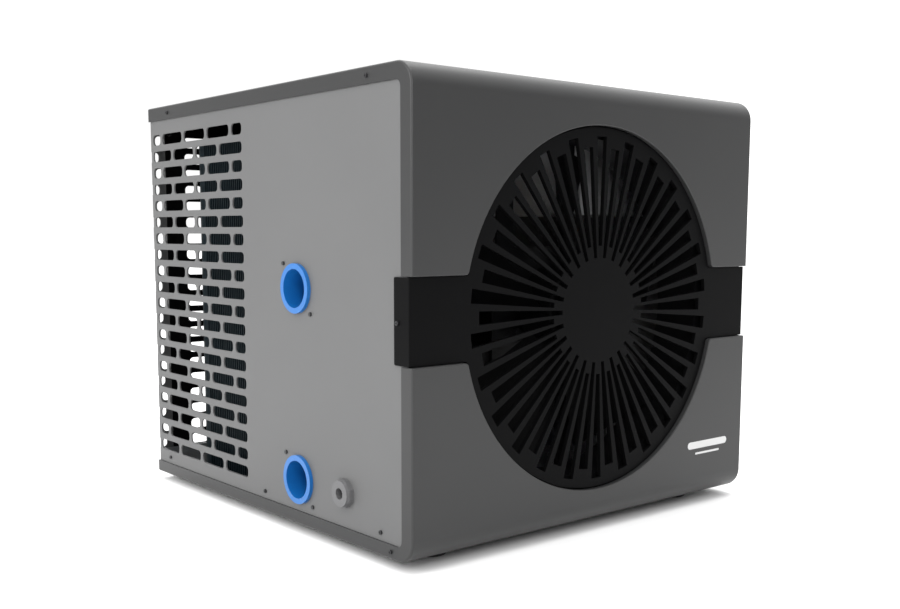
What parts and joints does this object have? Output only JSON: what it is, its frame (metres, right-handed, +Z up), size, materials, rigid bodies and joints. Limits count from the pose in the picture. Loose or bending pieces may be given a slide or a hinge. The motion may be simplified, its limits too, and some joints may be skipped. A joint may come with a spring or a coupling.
{
  "type": "pool heat pump unit",
  "caption": "Compact air-to-water heat pump cabinet with a round slotted fan grille, vented side panels, two water ports and a cable gland.",
  "frame": {"origin": "on the ground, under the middle of the cabinet", "axes": "+Z up, -Y out of the fan grille at the front, -X towards the side with the water ports"},
  "size_m": [0.4336, 0.4519, 0.3967],
  "materials": {
    "black_paint": "gloss",
    "black_plastic": "fine moulded",
    "blue_plastic": "moulded",
    "board_green": "solder resist",
    "brass": "machined",
    "button_plastic": "fine moulded",
    "coated_fins": "hydrophilic coating",
    "copper": "drawn copper",
    "dark_screw": "blackened",
    "graphite_paint": "satin powder coat",
    "grey_paint": "satin powder coat",
    "light_plastic": "moulded",
    "rubber": "moulded",
    "smoked_window": "smoked",
    "steel": "turned",
    "tank_plastic": "moulded",
    "titanium": "drawn titanium",
    "zinc_sheet": "galvanised"
  },
  "bodies": {
    "cabinet": {"accumulator": "black_paint", "base_pan": "zinc_sheet", "cabinet_screws": "dark_screw", "cable_gland": "light_plastic", "capillary_tube": "copper", "coil_end_plates": "zinc_sheet", "coil_fins": "coated_fins", "coil_tubes": "copper", "compressor": "black_paint", "compressor_bolts": "steel", "compressor_mounts": "rubber", "control_bezel": "black_plastic", "control_board": "board_green", "control_window": "smoked_window", "discharge_pipe": "copper", "drain_spout": "black_plastic", "electrical_box": "zinc_sheet", "electrical_lid": "zinc_sheet", "evaporator_gas_pipe": "copper", "exchanger_coil": "titanium", "exchanger_gas_pipe": "copper", "exchanger_lid": "tank_plastic", "exchanger_tank": "tank_plastic", "fan_shroud": "black_paint", "filter_drier": "black_paint", "flow_switch": "light_plastic", "foot_nuts": "steel", "foot_screws": "steel", "front_grille": "black_plastic", "gland_lock_nut": "light_plastic", "inlet_port": "blue_plastic", "left_panel": "grey_paint", "liquid_pipe": "copper", "lower_shell": "graphite_paint", "motor_bearings": "steel", "motor_bracket": "black_paint", "motor_end_cover": "black_paint", "motor_housing": "black_paint", "motor_screws": "dark_screw", "motor_stator": "copper", "outlet_port": "blue_plastic", "port_screws": "dark_screw", "port_seals": "rubber", "port_unions": "tank_plastic", "power_board": "board_green", "rear_grille": "black_plastic", "reversing_valve": "brass", "right_panel": "grey_paint", "rubber_feet": "rubber", "suction_pipe": "copper", "upper_shell": "graphite_paint", "valve_coil": "light_plastic"},
    "fan_rotor": {"fan": "black_plastic", "fan_nut": "steel", "fan_shaft": "steel", "motor_rotor": "steel"},
    "button_power_body": {"button_power": "button_plastic"},
    "button_mode_body": {"button_mode": "button_plastic"},
    "button_down_body": {"button_down": "button_plastic"},
    "button_up_body": {"button_up": "button_plastic"}
  },
  "joints": [
    {"name": "fan_spin", "type": "hinge", "parent": "cabinet", "child": "fan_rotor", "pos_m": [0, -0.18, 0.1995], "axis": [0, 1, 0], "continuous": true},
    {"name": "press_power", "type": "slide", "parent": "cabinet", "child": "button_power_body", "axis": [0, 0, -1], "range_m": [0, 0.0008], "stiffness_N_per_m": 600},
    {"name": "press_mode", "type": "slide", "parent": "cabinet", "child": "button_mode_body", "axis": [0, 0, -1], "range_m": [0, 0.0008], "stiffness_N_per_m": 600},
    {"name": "press_down", "type": "slide", "parent": "cabinet", "child": "button_down_body", "axis": [0, 0, -1], "range_m": [0, 0.0008], "stiffness_N_per_m": 600},
    {"name": "press_up", "type": "slide", "parent": "cabinet", "child": "button_up_body", "axis": [0, 0, -1], "range_m": [0, 0.0008], "stiffness_N_per_m": 600}
  ]
}
